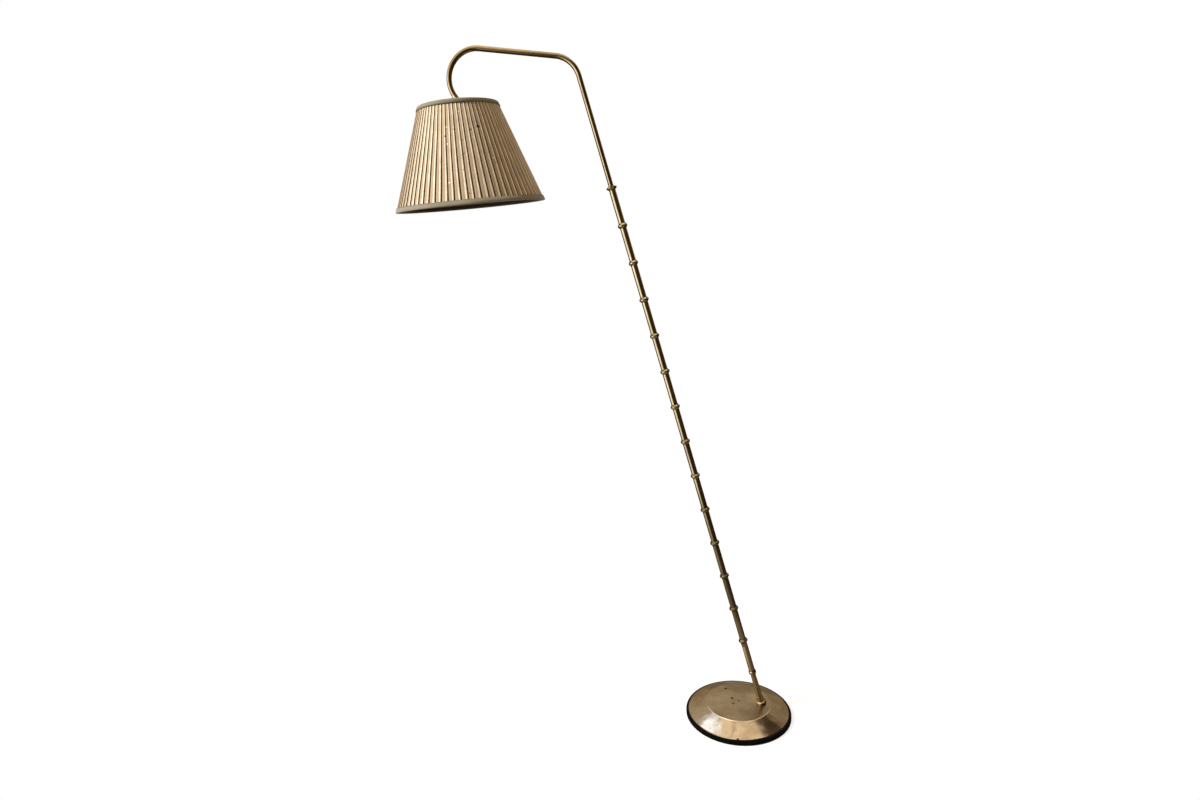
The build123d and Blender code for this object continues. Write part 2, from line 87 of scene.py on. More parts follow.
# %% Camera
camera_place = Vector((-0.12004, -1.57630, 1.04175))
camera_pitch = math.radians(9.43)
camera_roll = math.radians(-2.42)
camera_yaw = math.radians(-6.71)
camera_lens = 21.0
camera_reach = 200
sensor_width = 36.0

forward = Vector((0, math.cos(camera_pitch), -math.sin(camera_pitch)))
level_right = Vector((1, 0, 0))
level_up = level_right.cross(forward)
right = math.cos(camera_roll) * level_right + math.sin(camera_roll) * level_up
up = -math.sin(camera_roll) * level_right + math.cos(camera_roll) * level_up
turn = Matrix.Rotation(camera_yaw, 3, "Z").transposed()
right, up, forward = turn @ right, turn @ up, turn @ forward


def put(name, data):
    """A new object with this data, in the scene."""
    made = bpy.data.objects.new(name, data)
    bpy.context.scene.collection.objects.link(made)
    return made


camera_data = bpy.data.cameras.new("camera")
camera_data.lens = camera_lens
camera_data.sensor_width = sensor_width
camera_data.sensor_fit = "HORIZONTAL"
camera_data.clip_end = camera_reach
camera = put("camera", camera_data)
camera.matrix_world = frame_matrix(camera_place, right, up, -forward)
bpy.context.scene.camera = camera
print("camera at", [round(c, 3) for c in camera_place])

# %% [markdown]
# Materials, the room and the folds of the cloth are all built from nodes. A few helpers keep that short:
# each one adds a node, feeds it links or plain numbers, and gives back its output.

# %% Node helpers: numbers


def add_node(tree, kind, **settings):
    """A node of this kind; settings are its own properties."""
    node = tree.nodes.new(kind)
    for name, value in settings.items():
        setattr(node, name, value)
    return node


def feed(tree, socket, value):
    """Link a socket or set a constant."""
    if isinstance(value, bpy.types.NodeSocket):
        tree.links.new(value, socket)
    else:
        socket.default_value = value


def feed_all(tree, sockets, values):
    """Feed several sockets by their names or numbers."""
    for key, value in values.items():
        feed(tree, sockets[key], value)


def math_node(tree, operation, *values, clamp=False):
    """A math node on up to three values; gives its output."""
    node = add_node(tree, "ShaderNodeMath", operation=operation, use_clamp=clamp)
    feed_all(tree, node.inputs, dict(enumerate(values)))
    return node.outputs[0]


def times(tree, *values):
    """The product of several values."""
    product = values[0]
    for value in values[1:]:
        product = math_node(tree, "MULTIPLY", product, value)
    return product


def scaled(tree, value, factor, offset, clamp=False):
    """A value times a factor, plus an offset."""
    return math_node(tree, "MULTIPLY_ADD", value, factor, offset, clamp=clamp)


def ramp(tree, value, low, high):
    """A smooth step of a value from 0 at low to 1 at high."""
    node = add_node(tree, "ShaderNodeMapRange", interpolation_type="SMOOTHSTEP")
    feed_all(tree, node.inputs, {"Value": value, "From Min": low, "From Max": high})
    return node.outputs["Result"]


def mix_value(tree, factor, first, second):
    """A number between two."""
    node = add_node(tree, "ShaderNodeMix", data_type="FLOAT")
    feed_all(tree, node.inputs, {0: factor, 2: first, 3: second})
    return node.outputs[0]


# %% Node helpers: vectors, textures and colours


def vector_node(tree, operation, *values):
    """A vector math node; gives the output that the operation fills."""
    node = add_node(tree, "ShaderNodeVectorMath", operation=operation)
    feed_all(tree, node.inputs, dict(enumerate(values)))
    scalar = operation in ("LENGTH", "DISTANCE", "DOT_PRODUCT")
    return node.outputs["Value" if scalar else "Vector"]


def combine(tree, x, y, z):
    """A vector from three numbers."""
    node = add_node(tree, "ShaderNodeCombineXYZ")
    feed_all(tree, node.inputs, {"X": x, "Y": y, "Z": z})
    return node.outputs[0]


def split(tree, vector):
    """The three numbers of a vector."""
    node = add_node(tree, "ShaderNodeSeparateXYZ")
    feed(tree, node.inputs[0], vector)
    return node.outputs


def noise(tree, vector, scale=1.0, detail=2.0, roughness=0.5):
    """A noise texture's value."""
    node = add_node(tree, "ShaderNodeTexNoise")
    feed_all(tree, node.inputs, {"Vector": vector, "Scale": scale, "Detail": detail, "Roughness": roughness})
    return node.outputs["Fac"]


def colour(*linear):
    """A linear colour with full alpha."""
    return (*linear, 1.0)


def mix_colour(tree, factor, first, second):
    """A colour mixed from two."""
    node = add_node(tree, "ShaderNodeMix", data_type="RGBA")
    feed_all(tree, node.inputs, {0: factor, 6: first, 7: second})
    return node.outputs[2]


def toned(tree, base, mask, amount, second):
    """A colour mixed towards a second one by a share of a mask."""
    return mix_colour(tree, times(tree, mask, amount), base, second)


# %% [markdown]
# Polished metal shows its surroundings more than its own colour. The background is plain white, and the
# metal sees that white behind the lamp. The half of the room behind the camera is dim and warm, with one
# tall window on the left, a pale wall above it, a bright ceiling, a skylight high on the left and a dark
# doorway high on the right. These draw the cream line and the dark flank on every tube and the bands on
# the base. Lamps and cards could do it too, but cards would show in other views. So each is a mask over the
# directions that a ray can take, laid over the ones before it.

# %% Room
white = colour(1.0, 1.0, 1.0)
dim_room = colour(0.085, 0.055, 0.026)
window_light = colour(3.6, 4.0, 4.8)
high_wall = colour(1.7, 1.6, 1.45)
ceiling_light = colour(2.6, 2.6, 2.6)
skylight_light = colour(3.8, 5.2, 8.6)
window_from, window_to, window_blur = 26.0, 80.0, 11.0
window_foot = (-0.64, -0.42)
wall_foot = (0.20, 0.45)
wall_side = (-4.0, 9.0)
behind_lift = 0.9
behind_edge = (0.55, 0.95)
ceiling_edge = (0.80, 0.93)
skylight_way = Vector((-0.40, 0.36, 0.84)).normalized()
skylight_spread = (4.0, 13.0)
doorway_way = Vector((0.52, 0.36, 0.78)).normalized()
doorway_spread = (9.0, 13.0)

world = bpy.data.worlds.new("studio")
bpy.context.scene.world = world
world.use_nodes = True
sky = world.node_tree
sky.nodes.clear()
way = add_node(sky, "ShaderNodeTexCoord").outputs["Generated"]
way_x, way_y, way_z = split(sky, way)


def patch(centre, inner, outer):
    """A soft round patch of the room about a direction; inner and outer are angles in degrees."""
    nearness = vector_node(sky, "DOT_PRODUCT", way, centre)
    return ramp(sky, nearness, math.cos(math.radians(outer)), math.cos(math.radians(inner)))


leftwards = math_node(sky, "ARCTAN2", times(sky, way_x, -1.0), times(sky, way_y, -1.0))
leftwards = math_node(sky, "DEGREES", leftwards)
opening = times(
    sky,
    ramp(sky, leftwards, window_from - window_blur, window_from + window_blur),
    ramp(sky, leftwards, window_to + window_blur, window_to - window_blur),
    ramp(sky, way_z, *window_foot),
)
wall = times(sky, ramp(sky, way_z, *wall_foot), ramp(sky, leftwards, *wall_side))
behind = ramp(sky, scaled(sky, way_z, behind_lift, way_y), *behind_edge)
reflected = dim_room
for mask, light in (
    (opening, window_light),
    (wall, high_wall),
    (behind, white),
    (ramp(sky, way_z, *ceiling_edge), ceiling_light),
    (patch(skylight_way, *skylight_spread), skylight_light),
    (patch(doorway_way, *doorway_spread), dim_room),
):
    reflected = mix_colour(sky, mask, reflected, light)
print("room nodes", len(sky.nodes))

# %% [markdown]
# Only reflections see that room. Dull surfaces get an even, warm light from all round, and the camera sees
# plain white, also through glass.

# %% What each kind of ray sees
soft_room = colour(0.45, 0.357, 0.252)
path = add_node(sky, "ShaderNodeLightPath").outputs
shown = mix_colour(sky, path["Is Glossy Ray"], soft_room, reflected)
seen = math_node(sky, "MAXIMUM", path["Is Camera Ray"], path["Is Transmission Ray"])
shown = mix_colour(sky, seen, shown, white)
background = add_node(sky, "ShaderNodeBackground")
feed(sky, background.inputs["Color"], shown)
world_out = add_node(sky, "ShaderNodeOutputWorld")
feed(sky, world_out.inputs["Surface"], background.outputs[0])
print("world", world.name, len(sky.nodes), "nodes")

# %% [markdown]
# One soft lamp lights the cloth from the front left and from well above the shade. It stands so far to the
# side that one flank of each pleat is lit and the crease beside it is in shadow. It is an area lamp, because
# a lamp of no size would draw hard shadows. The metal already has its window, so this lamp is kept out of
# the reflections.

# %% Key lamp
key_left = math.radians(57.0)
key_rise = math.radians(28.0)
key_distance = 2.4
key_size = 0.55
key_power = 103.0
shade_middle_drop = 0.12
shade_middle = pin - shade_middle_drop * shade_up
key_way = Vector((
    -math.sin(key_left) * math.cos(key_rise),
    -math.cos(key_left) * math.cos(key_rise),
    math.sin(key_rise),
))
key_data = bpy.data.lights.new("key", "AREA")
key_data.shape = "SQUARE"
key_data.size = key_size
key_data.energy = key_power
key = put("key", key_data)
key.location = shade_middle + key_distance * key_way
key.rotation_euler = (-key_way).to_track_quat("-Z", "Y").to_euler()
key.visible_glossy = False
print("key lamp at", [round(c, 2) for c in key.location])

# %% [markdown]
# The floor is pale and keeps a faint shadow near the base. The camera sees it there half as plain white, and
# wholly so further out, where it runs into the background without a line. The metal sees it dimmer, which
# keeps the lower stem as dark as in the photograph.

# %% Floor
floor_half = 0.75
floor_gap = 0.0005
floor_tone = colour(0.85, 0.85, 0.85)
floor_near_share = 0.5
floor_near_white, floor_far_white, floor_in_metal = 1.5, 1.0, 0.45
fade_from, fade_to = 0.25, 0.7

floor_mesh = bpy.data.meshes.new("floor")
floor_corners = [(x, y, 0) for x, y in ((-1, -1), (1, -1), (1, 1), (-1, 1))]
floor_mesh.from_pydata([Vector(corner) * floor_half for corner in floor_corners], [], [(0, 1, 2, 3)])
floor = put("floor", floor_mesh)
floor.location.z = -floor_gap
floor_paint = bpy.data.materials.new("floor")
floor_paint.use_nodes = True
tree = floor_paint.node_tree
tree.nodes.clear()
pale = add_node(tree, "ShaderNodeBsdfDiffuse")
feed(tree, pale.inputs["Color"], floor_tone)
distance = vector_node(tree, "LENGTH", add_node(tree, "ShaderNodeTexCoord").outputs["Object"])
far = ramp(tree, distance, fade_from, fade_to)
path = add_node(tree, "ShaderNodeLightPath").outputs
whiteness = mix_value(tree, far, floor_near_white, floor_far_white)
whiteness = mix_value(tree, path["Is Glossy Ray"], whiteness, floor_in_metal)
plain = add_node(tree, "ShaderNodeEmission")
feed(tree, plain.inputs["Strength"], whiteness)
seen = math_node(tree, "MAXIMUM", path["Is Camera Ray"], path["Is Transmission Ray"])
seen = math_node(tree, "MAXIMUM", seen, path["Is Glossy Ray"])
white_share = times(tree, seen, mix_value(tree, far, floor_near_share, 1.0))
floor_mix = add_node(tree, "ShaderNodeMixShader")
feed_all(tree, floor_mix.inputs, {0: white_share, 1: pale.outputs[0], 2: plain.outputs[0]})
floor_out = add_node(tree, "ShaderNodeOutputMaterial")
feed(tree, floor_out.inputs["Surface"], floor_mix.outputs[0])
floor_mesh.materials.append(floor_paint)
print("floor", 2 * floor_half, "m wide")

# %% [markdown]
# The standard view shows colours as they are, so the white background stays white.

# %% Picture settings
bpy.context.scene.view_settings.view_transform = "Standard"
print("view", bpy.context.scene.view_settings.view_transform)

# %% [markdown]
# Old lacquered brass is not one colour. It goes brown where the lacquer has failed, it keeps fine scratches
# from polishing along its length or round its turned faces, and dirt stays in its corners. A mask of painted
# highlight can lighten it where a gleam should show. A painted picture could show this, but noise stays sharp
# from close by and needs no unwrapping. One node group holds these effects, and each brass finish uses it
# with its own amounts.

# %% Shared effect: aged metal
FLOAT, VECTOR, COLOUR = "NodeSocketFloat", "NodeSocketVector", "NodeSocketColor"
dirt_colour = colour(0.030, 0.019, 0.010)
bright_brass = colour(0.78, 0.60, 0.36)
gleam_share = 0.6
grain_share = 0.20
patina_edge = (0.36, 0.82)
patina_swing = 0.6
speck_scale = 170.0
speck_edge = (0.70, 0.80)
speck_share = 0.5
grain_roughness, patina_roughness, dirt_roughness = 0.10, 0.10, 0.20


def new_tree(name, kind, inputs, outputs):
    """A node group with named sockets; gives the tree and the sockets of its two end nodes."""
    tree = bpy.data.node_groups.new(name, kind)
    for in_out, sockets in (("INPUT", inputs), ("OUTPUT", outputs)):
        for socket, socket_type in sockets:
            tree.interface.new_socket(socket, in_out=in_out, socket_type=socket_type)
    return tree, add_node(tree, "NodeGroupInput").outputs, add_node(tree, "NodeGroupOutput").inputs


aged_metal, given, result = new_tree(
    "aged metal",
    "ShaderNodeTree",
    [("Place", VECTOR), ("Grain", VECTOR), ("Polished", COLOUR), ("Patina", COLOUR), ("Patina Amount", FLOAT),
     ("Cloud Scale", FLOAT), ("Painted Highlight", FLOAT), ("Dirt", FLOAT)],
    [("Color", COLOUR), ("Roughness", FLOAT)],
)
cloud = noise(aged_metal, given["Place"], given["Cloud Scale"], detail=5.0, roughness=0.6)
scratches = noise(aged_metal, given["Grain"], detail=3.0, roughness=0.6)
speck = noise(aged_metal, given["Place"], speck_scale, detail=1.0, roughness=0.4)
brown = ramp(aged_metal, scaled(aged_metal, scratches, grain_share, cloud), *patina_edge)
brown = scaled(aged_metal, brown, patina_swing, -patina_swing / 2)
brown = math_node(aged_metal, "ADD", brown, given["Patina Amount"])
# A painted highlight mask takes off patina and lightens the colour towards bright brass.
brown = math_node(aged_metal, "SUBTRACT", brown, given["Painted Highlight"], clamp=True)
tone = mix_colour(aged_metal, brown, given["Polished"], given["Patina"])
tone = toned(aged_metal, tone, given["Painted Highlight"], gleam_share, bright_brass)
specks = ramp(aged_metal, speck, *speck_edge)
soiled = scaled(aged_metal, specks, speck_share, given["Dirt"], clamp=True)
feed(aged_metal, result["Color"], mix_colour(aged_metal, soiled, tone, dirt_colour))
rough = scaled(aged_metal, scratches, grain_roughness, -grain_roughness / 2)
rough = scaled(aged_metal, brown, patina_roughness, rough)
rough = scaled(aged_metal, soiled, dirt_roughness, rough)
feed(aged_metal, result["Roughness"], rough)
print("group", aged_metal.name, len(aged_metal.nodes), "nodes")

# %% [markdown]
# Marks on a turned piece follow its axis: a scratch runs along a drawn tube and round a spun sheet, and dirt
# lies at a distance from the axis. So a material first turns the object's coordinates into the frame of the
# piece, and the marks are written there.

# %% Material helpers


def new_material(name):
    """A material with a Principled shader; gives the material, its tree and the shader."""
    material = bpy.data.materials.new(name)
    material.use_nodes = True
    tree = material.node_tree
    print("material", name)
    return material, tree, tree.nodes["Principled BSDF"]


def object_place(tree):
    """Object coordinates."""
    return add_node(tree, "ShaderNodeTexCoord").outputs["Object"]


def in_frame(tree, place, matrix):
    """Object coordinates turned into a local frame by its axes."""
    shifted = vector_node(tree, "SUBTRACT", place, matrix.translation)
    axes = [matrix.to_3x3().col[index] for index in range(3)]
    return combine(tree, *[vector_node(tree, "DOT_PRODUCT", shifted, axis) for axis in axes])


def from_axis(tree, local):
    """Distance from a frame's Z axis."""
    return vector_node(tree, "LENGTH", vector_node(tree, "MULTIPLY", local, (1.0, 1.0, 0.0)))


def bump(tree, height, strength, distance):
    """A bump node's normal."""
    node = add_node(tree, "ShaderNodeBump")
    feed_all(tree, node.inputs, {"Height": height, "Strength": strength, "Distance": distance})
    return node.outputs["Normal"]


def spots(tree, place, centres, wobble=0.0006, wobble_scale=700.0, blur=0.3):
    """A mask of small blots at given centres, each with its radius; noise makes their edges uneven."""
    uneven = scaled(tree, noise(tree, place, wobble_scale), wobble * 2, -wobble)
    mask = 0.0
    for centre, radius in centres:
        reach = math_node(tree, "ADD", vector_node(tree, "DISTANCE", place, centre), uneven)
        blot = ramp(tree, reach, radius * (1 + blur), radius * (1 - blur))
        mask = math_node(tree, "MAXIMUM", mask, blot)
    return mask


# %% Brass
warm_edge = colour(0.45, 0.36, 0.24)
grey_edge = colour(0.50, 0.46, 0.41)
patina_from, patina_to = 0.1, 1.15
dent_scale = 26.0
dent_depth = 0.008


def drawn_grain(tree, local, along, across):
    """Scratches of a drawn tube: so many for each metre along the axis and across it."""
    return vector_node(tree, "MULTIPLY", local, (across, across, along))


def spun_grain(tree, local, along, across):
    """Scratches of a spun sheet: rings about the axis, so many for each metre across them."""
    return combine(tree, times(tree, from_axis(tree, local), across), along, 0.0)


def brass(
    name, polished, patina, amount, cloud_scale, roughness, grain, matrix,
    painted_highlight=None, dirt=None, edge=warm_edge, dents=0.0,
):
    """Aged brass on a turned piece. Amount is a pair: patina at the frame's foot and at its far end.

    Grain is a function for the scratches with its two numbers. Painted highlight and dirt are functions that
    give masks. Roughness is a number, or a function where it changes over the piece. Edge is the tint seen at
    a low angle. Dents is how uneven the sheet is.
    """
    material, tree, shader = new_material(name)
    place = object_place(tree)
    local = in_frame(tree, place, matrix)
    along_axis = ramp(tree, split(tree, local)[2], patina_from, patina_to)
    scratch_function, *scratch_counts = grain
    aged = add_node(tree, "ShaderNodeGroup", node_tree=aged_metal)
    feed_all(tree, aged.inputs, {
        "Place": place,
        "Grain": scratch_function(tree, local, *scratch_counts),
        "Polished": polished,
        "Patina": patina,
        "Patina Amount": mix_value(tree, along_axis, *amount),
        "Cloud Scale": cloud_scale,
        "Painted Highlight": painted_highlight(tree, local) if painted_highlight else 0.0,
        "Dirt": dirt(tree, place, local) if dirt else 0.0,
    })
    level = roughness(tree, local) if callable(roughness) else roughness
    feed_all(tree, shader.inputs, {
        "Base Color": aged.outputs["Color"],
        "Roughness": math_node(tree, "ADD", aged.outputs["Roughness"], level, clamp=True),
        "Metallic": 1.0,
        "Specular Tint": edge,
    })
    if dents:
        uneven = noise(tree, place, dent_scale, detail=1.0)
        feed(tree, shader.inputs["Normal"], bump(tree, uneven, dents, dent_depth))
    return material


# %% [markdown]
# The stem's rings have kept a dull skin that no cloth could reach, and a dark line of old polish lies beside
# each of them. Blender's pointiness can find such corners, but it needs a dense, joined mesh, and the solids
# are sparse and split along their edges. So the skin is found by its distance from the stem's axis, and the
# line by its distance along it from the nearest ring, which two rings' own solids tell. The stub tube below
# has a painted highlight on its left flank.

# %% Measure the solids


def local_points(node, matrix):
    """A node's corners in a local frame, as an array."""
    corners = nodes[node].data.vertices
    flat = np.empty(len(corners) * 3)
    corners.foreach_get("co", flat)
    inverse = np.array(matrix.inverted())
    return flat.reshape(-1, 3) @ inverse[:3, :3].T + inverse[:3, 3]


def radius_at(points, height, slack=0.0006):
    """Largest radius of the points near a height."""
    near = points[np.abs(points[:, 2] - height) < slack]
    return float(np.hypot(near[:, 0], near[:, 1]).max())


# %% Brass of the stem and the arm
ring_middles = [
    float(local_points(f"stem_ring_{index:02d}", stem_frame)[:, 2].mean()) for index in (1, 2)
]
ring_pitch = ring_middles[1] - ring_middles[0]
ring_half = 0.005
stem_radius = 0.0074
corner_reach, corner_overlap, corner_rise = 0.0026, 0.0006, 0.0022
corner_patch_scale = 160.0
corner_patch_edge = (0.30, 0.62)
corner_share = 0.8
skin_from, skin_to, skin_share = 0.0004, 0.0020, 0.12
stub_top = float(local_points("stub_tube", stem_frame)[:, 2].max())
stub_blur = 0.001
flank_edge = (0.0005, -0.0035)
flank_share = 0.8


def ring_corners(tree, place, local):
    """Dirt in the corner on both sides of each ring, and a thin skin of it on the ring itself."""
    along_stem = math_node(tree, "SUBTRACT", split(tree, local)[2], ring_middles[0])
    gap = math_node(tree, "PINGPONG", along_stem, ring_pitch / 2)
    off_axis = from_axis(tree, local)
    corner = times(
        tree,
        ramp(tree, gap, ring_half + corner_reach, ring_half - corner_overlap),
        ramp(tree, off_axis, stem_radius + corner_rise, stem_radius),
        ramp(tree, noise(tree, place, corner_patch_scale, detail=3.0), *corner_patch_edge),
        corner_share,
    )
    skin = ramp(tree, off_axis, stem_radius + skin_from, stem_radius + skin_to)
    return scaled(tree, skin, skin_share, corner)


def painted_stub_highlight(tree, local):
    """A painted highlight on the left flank of the stub tube below the stem."""
    local_x, _, local_z = split(tree, local)
    low = ramp(tree, local_z, stub_top + stub_blur, stub_top - stub_blur)
    return times(tree, low, ramp(tree, local_x, *flank_edge), flank_share)


finishes = {}
finishes["brass_arm"] = brass(
    "aged brass, arm",
    polished=colour(0.43, 0.315, 0.155),
    patina=colour(0.155, 0.097, 0.034),
    amount=(0.62, 0.58),
    cloud_scale=9.0,
    roughness=0.11,
    grain=(drawn_grain, 170.0, 170.0),
    matrix=stem_frame,
)
finishes["brass_stem"] = brass(
    "aged brass, stem",
    polished=colour(0.45, 0.337, 0.178),
    patina=colour(0.165, 0.110, 0.050),
    # Darker towards the foot: patina, and painted shade where the lower stem reflects a dim floor.
    amount=(0.98, 0.38),
    cloud_scale=7.0,
    roughness=0.20,
    grain=(drawn_grain, 14.0, 700.0),
    matrix=stem_frame,
    painted_highlight=painted_stub_highlight,
    dirt=ring_corners,
)

# %% [markdown]
# The base is spun from sheet, so its scratches run in circles and it is slightly uneven, which bends its
# reflections. That is a bump in the material, because the solid keeps its shape. The colour is an even brown,
# with a painted highlight in a thin line along the shoulder between the flat top and the skirt, and a few
# dark blots. The flat top is duller than the skirt.

# %% Brass of the base and the fittings
base_frame = Matrix.Identity(4)
base_points = local_points("base_cover", base_frame)
base_height = float(base_points[:, 2].max())
shoulder_radius = radius_at(base_points, base_height, 0.0001)
shoulder_line_out = 0.0014
shoulder_line_edge = (0.0018, 0.0004)
shoulder_front = (-0.015, -0.045)
shoulder_left = (0.02, -0.04)
shoulder_left_share = 0.65
shoulder_patch_scale = 18.0
shoulder_patch_edge = (0.26, 0.48)
skirt_roughness, top_roughness = 0.12, 0.24
top_edge_out, top_edge_in = 0.002, 0.003
blot_share = 0.95
top_blots = [
    ((-0.0260, 0.0543), 0.0038),
    ((-0.0134, 0.0142), 0.0036),
    ((-0.0122, -0.0081), 0.0028),
    ((0.0019, 0.0041), 0.0026),
]
skirt_blot = ((-0.0104, -0.1181, 0.0115), 0.0030)
base_blots = [((*spot, base_height), radius) for spot, radius in top_blots] + [skirt_blot]


def painted_shoulder_highlight(tree, local):
    """A painted highlight: a thin line just outside the flat top, most at the front left."""
    off = math_node(tree, "SUBTRACT", from_axis(tree, local), shoulder_radius + shoulder_line_out)
    local_x, local_y, _ = split(tree, local)
    left = ramp(tree, local_x, *shoulder_left)
    return times(
        tree,
        ramp(tree, math_node(tree, "ABSOLUTE", off), *shoulder_line_edge),
        ramp(tree, local_y, *shoulder_front),
        scaled(tree, left, shoulder_left_share, 1 - shoulder_left_share),
        ramp(tree, noise(tree, local, shoulder_patch_scale, detail=3.0), *shoulder_patch_edge),
    )


def worn_top(tree, local):
    """Roughness of the base: the flat top is duller than the skirt."""
    off_axis = from_axis(tree, local)
    on_top = ramp(tree, off_axis, shoulder_radius + top_edge_out, shoulder_radius - top_edge_in)
    return mix_value(tree, on_top, skirt_roughness, top_roughness)


def blots(tree, place, local):
    """The base's dark blots."""
    return times(tree, spots(tree, place, base_blots), blot_share)


finishes["brass_base"] = brass(
    "spun brass, base",
    polished=colour(0.42, 0.305, 0.172),
    patina=colour(0.175, 0.115, 0.060),
    amount=(0.62, 0.62),
    cloud_scale=14.0,
    roughness=worn_top,
    grain=(spun_grain, 0.5, 450.0),
    matrix=base_frame,
    painted_highlight=painted_shoulder_highlight,
    dirt=blots,
    edge=grey_edge,
    dents=0.27,
)
finishes["brass_fittings"] = brass(
    "brass fittings",
    polished=colour(0.52, 0.38, 0.19),
    patina=colour(0.22, 0.14, 0.06),
    amount=(0.4, 0.4),
    cloud_scale=30.0,
    roughness=0.22,
    grain=(drawn_grain, 600.0, 40.0),
    matrix=shade_frame,
)

# %% [markdown]
# The smaller pieces need less: two tones in soft clouds, and a fine grain that changes the gloss and the
# surface a little. One function makes them all, from rubber to porcelain. The bulb's opal glass is milky
# and has a clear coat.

# %% Finishes of the smaller pieces
cloud_edge = (0.35, 0.7)
fine_grain_ratio = 12
fine_roughness, fine_roughness_drop = 0.15, 0.07
fine_bump, fine_depth = 0.25, 0.0002


def plain_finish(name, light, dark, scale, roughness, metallic, specular):
    """A finish with clouds of two tones and a fine grain; scale is the clouds' number for each metre."""
    material, tree, shader = new_material(name)
    place = object_place(tree)
    cloud = ramp(tree, noise(tree, place, scale, detail=4.0), *cloud_edge)
    fine = noise(tree, place, scale * fine_grain_ratio)
    feed_all(tree, shader.inputs, {
        "Base Color": mix_colour(tree, cloud, colour(*light), colour(*dark)),
        "Roughness": scaled(tree, fine, fine_roughness, roughness - fine_roughness_drop),
        "Normal": bump(tree, fine, fine_bump, fine_depth),
        "Metallic": metallic,
        "Specular IOR Level": specular,
    })
    return material


# By slot: name, light and dark tone, scale, roughness, metallic, specular level.
smaller_finishes = {
    "rubber": ("rubber", (0.003, 0.003, 0.003), (0.006, 0.0057, 0.0054), 60.0, 0.7, 0.0, 0.02),
    "steel": ("zinc steel", (0.55, 0.55, 0.54), (0.42, 0.42, 0.41), 80.0, 0.35, 1.0, 0.5),
    "cast_weight": ("cast iron", (0.09, 0.085, 0.08), (0.05, 0.047, 0.045), 120.0, 0.8, 0.0, 0.5),
    "nylon_bush": ("nylon", (0.75, 0.72, 0.64), (0.66, 0.62, 0.54), 90.0, 0.5, 0.0, 0.5),
    "porcelain": ("porcelain", (0.80, 0.78, 0.72), (0.74, 0.71, 0.64), 40.0, 0.15, 0.0, 0.5),
    "key_plastic": ("switch key", (0.03, 0.02, 0.015), (0.05, 0.032, 0.022), 90.0, 0.3, 0.0, 0.5),
    "wire": ("enamelled wire", (0.42, 0.37, 0.29), (0.30, 0.26, 0.20), 70.0, 0.45, 0.0, 0.5),
    # The liner's dark brown is painted shade for the unlit inside of the lampshade.
    "shade_liner": ("shade liner", (0.11, 0.075, 0.046), (0.075, 0.050, 0.030), 18.0, 0.8, 0.0, 0.2),
}
for slot, values in smaller_finishes.items():
    finishes[slot] = plain_finish(*values)

# %% Opal glass
opal_light, opal_dark = colour(0.86, 0.85, 0.82), colour(0.80, 0.79, 0.75)
opal_scale = 40.0
opal_edge = (0.3, 0.7)
opal, tree, shader = new_material("opal glass")
milky = ramp(tree, noise(tree, object_place(tree), opal_scale), *opal_edge)
feed_all(tree, shader.inputs, {
    "Base Color": mix_colour(tree, milky, opal_light, opal_dark),
    "Roughness": 0.16,
    "Coat Weight": 0.4,
})
finishes["bulb_glass"] = opal

# %% [markdown]
# The record says which finish slot each solid has, so the table from slot to material dresses them all. The
# cloth and the tape are made as pieces of their own further down, and their solids are then hidden.

# %% Give each solid its finish
for slot in ("shade_cloth", "shade_tape"):
    finishes[slot] = finishes["shade_liner"]
for row in frame["record"]["subparts"]:
    solid = nodes[row["node"]]
    if not solid.material_slots:
        solid.data.materials.append(None)
    for material_slot in solid.material_slots:
        material_slot.material = finishes[row["material_slot"]]
print("finishes", len(finishes))

# %% [markdown]
# The shade's cover is one long strip of cotton folded into knife pleats. A cloth simulation could crease it,
# but pressed pleats follow a rule, so a tree of geometry nodes folds them. A grid stands for the strip: its
# columns run along the strip and its rows from the mouth to the top. Three curves fold each pleat: how far
# a point goes across its pitch, how far it is tucked under the next pleat, and how deep it lies below the
# ridges. A fourth gives the fold's painted light: a painted highlight on the lit side of each ridge, and
# painted shade with some dust in the crease. Noise that belongs to each fold edge lets the pleats wander a
# little, as hand-folded ones do.

# %% Sizes of the shade, read from its solids
cover_points = local_points("shade_pleats", shade_frame)
cover_top = float(cover_points[:, 2].max())
cover_low = float(cover_points[:, 2].min())
ridge_top = radius_at(cover_points, cover_top)
ridge_low = radius_at(cover_points, cover_low)
slant = math.hypot(cover_top - cover_low, ridge_low - ridge_top)
print("cover", round(cover_low, 4), round(cover_top, 4), "ridges", round(ridge_low, 4), round(ridge_top, 4))

# %% Node tree that folds the cloth
INT, MATERIAL, GEOMETRY = "NodeSocketInt", "NodeSocketMaterial", "NodeSocketGeometry"
edge_slack = 0.0002


def float_curve(tree, value, points):
    """A curve through points from 0 to 1."""
    node = add_node(tree, "ShaderNodeFloatCurve")
    line = node.mapping.curves[0]
    line.points[0].location = points[0]
    line.points[1].location = points[-1]
    for point in points[1:-1]:
        line.points.new(*point)
    for point in line.points:
        point.handle_type = "AUTO_CLAMPED"
    node.mapping.update()
    feed(tree, node.inputs["Value"], value)
    return node.outputs[0]


